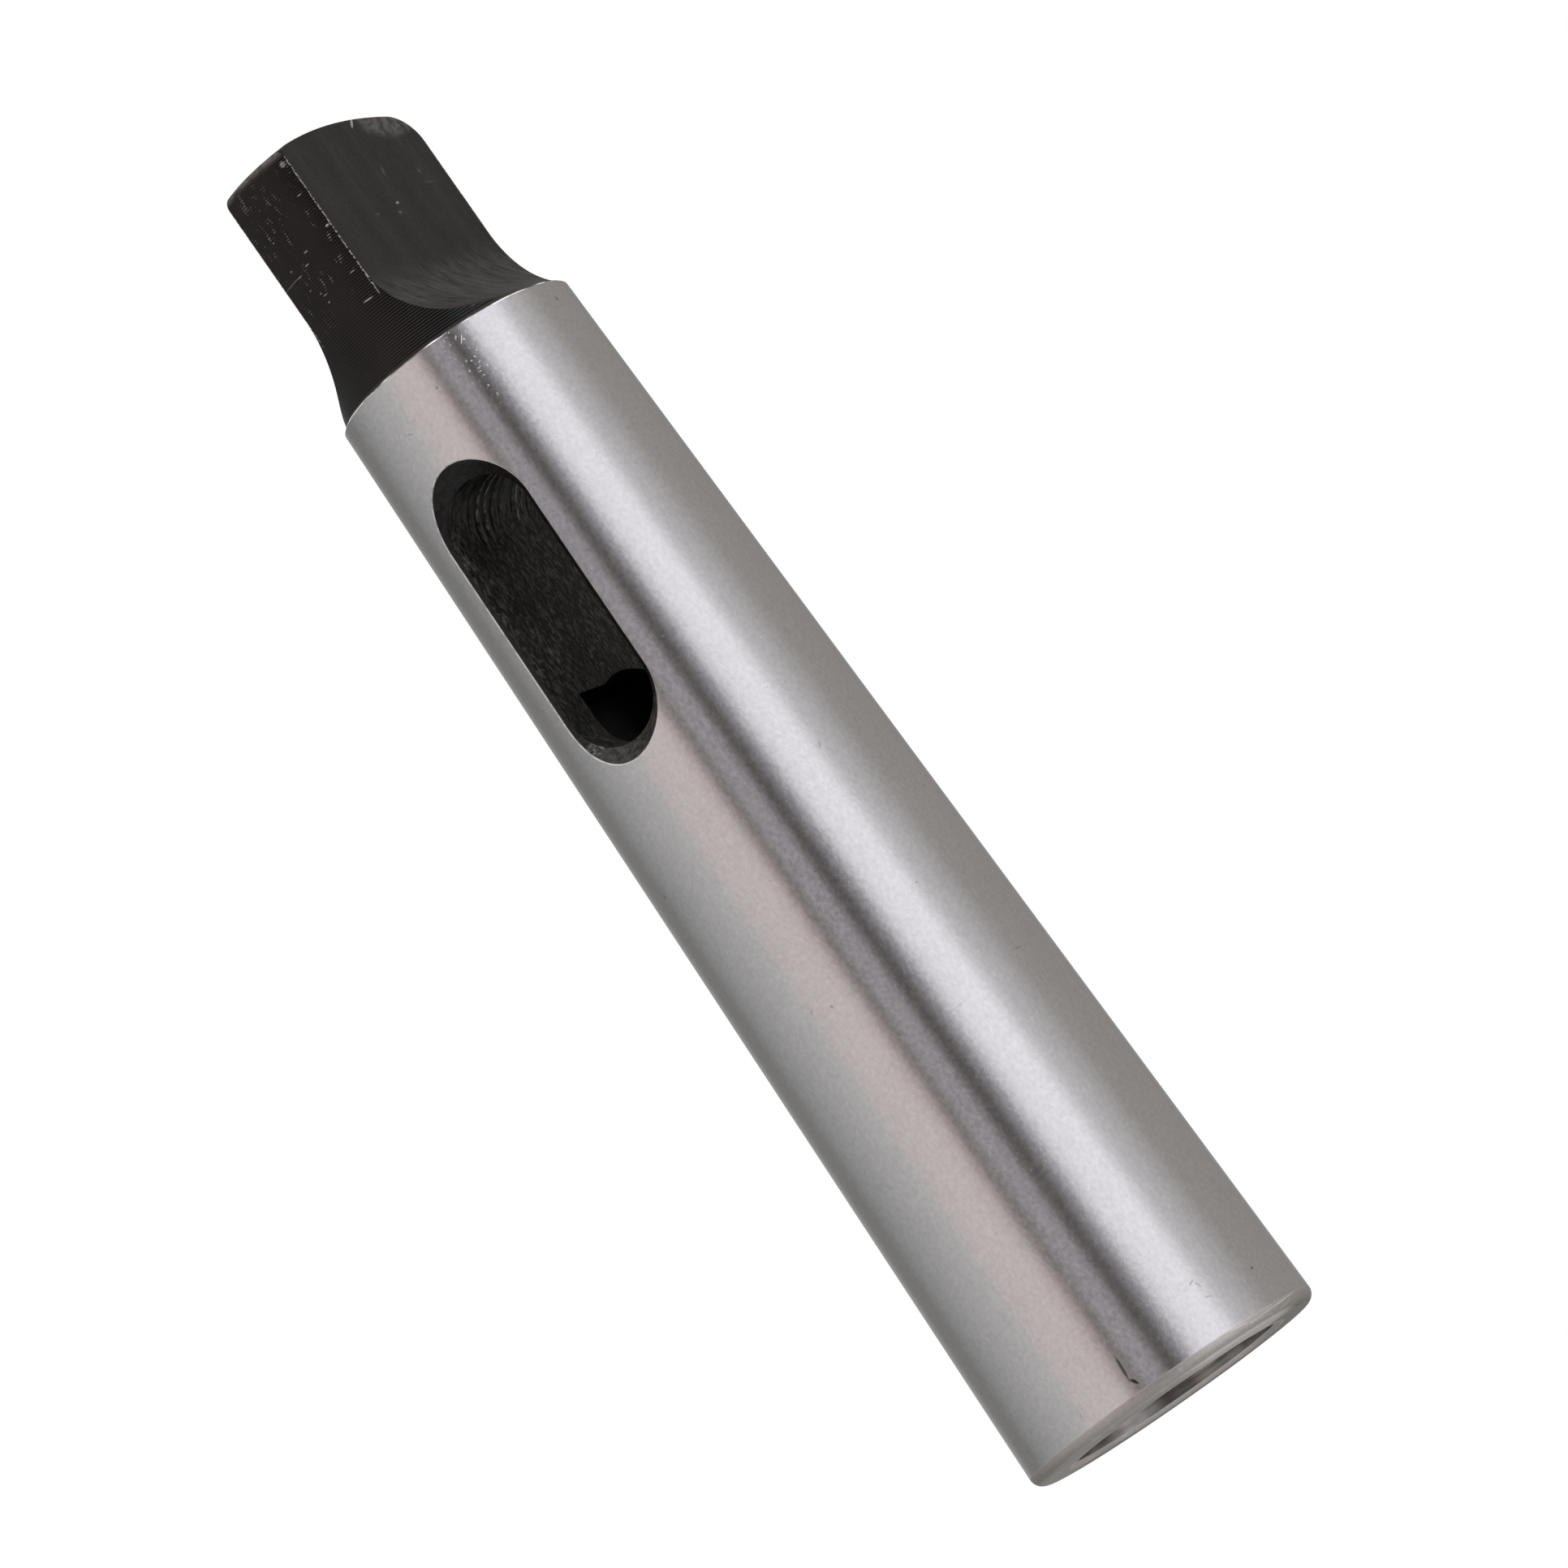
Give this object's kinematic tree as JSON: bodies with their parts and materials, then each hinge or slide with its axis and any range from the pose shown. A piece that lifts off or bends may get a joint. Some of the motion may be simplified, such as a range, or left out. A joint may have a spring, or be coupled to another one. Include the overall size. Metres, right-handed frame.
{
  "type": "morse taper sleeve",
  "caption": "Ground taper reducing sleeve with a flat-sided driving tang, a smaller taper socket in its big end and a drift slot through both walls.",
  "frame": {"origin": "centre of the big end's face, on which the sleeve stands", "axes": "+Z along the taper's axis towards the tang, Y along the drift slot, the tang's flats face +X and -X"},
  "size_m": [0.0246, 0.0246, 0.1133],
  "materials": {
    "steel": "fine ground on the outside taper, black oxide on the tang and in the slot"
  },
  "bodies": {
    "root": {"sleeve": "steel"}
  },
  "joints": []
}
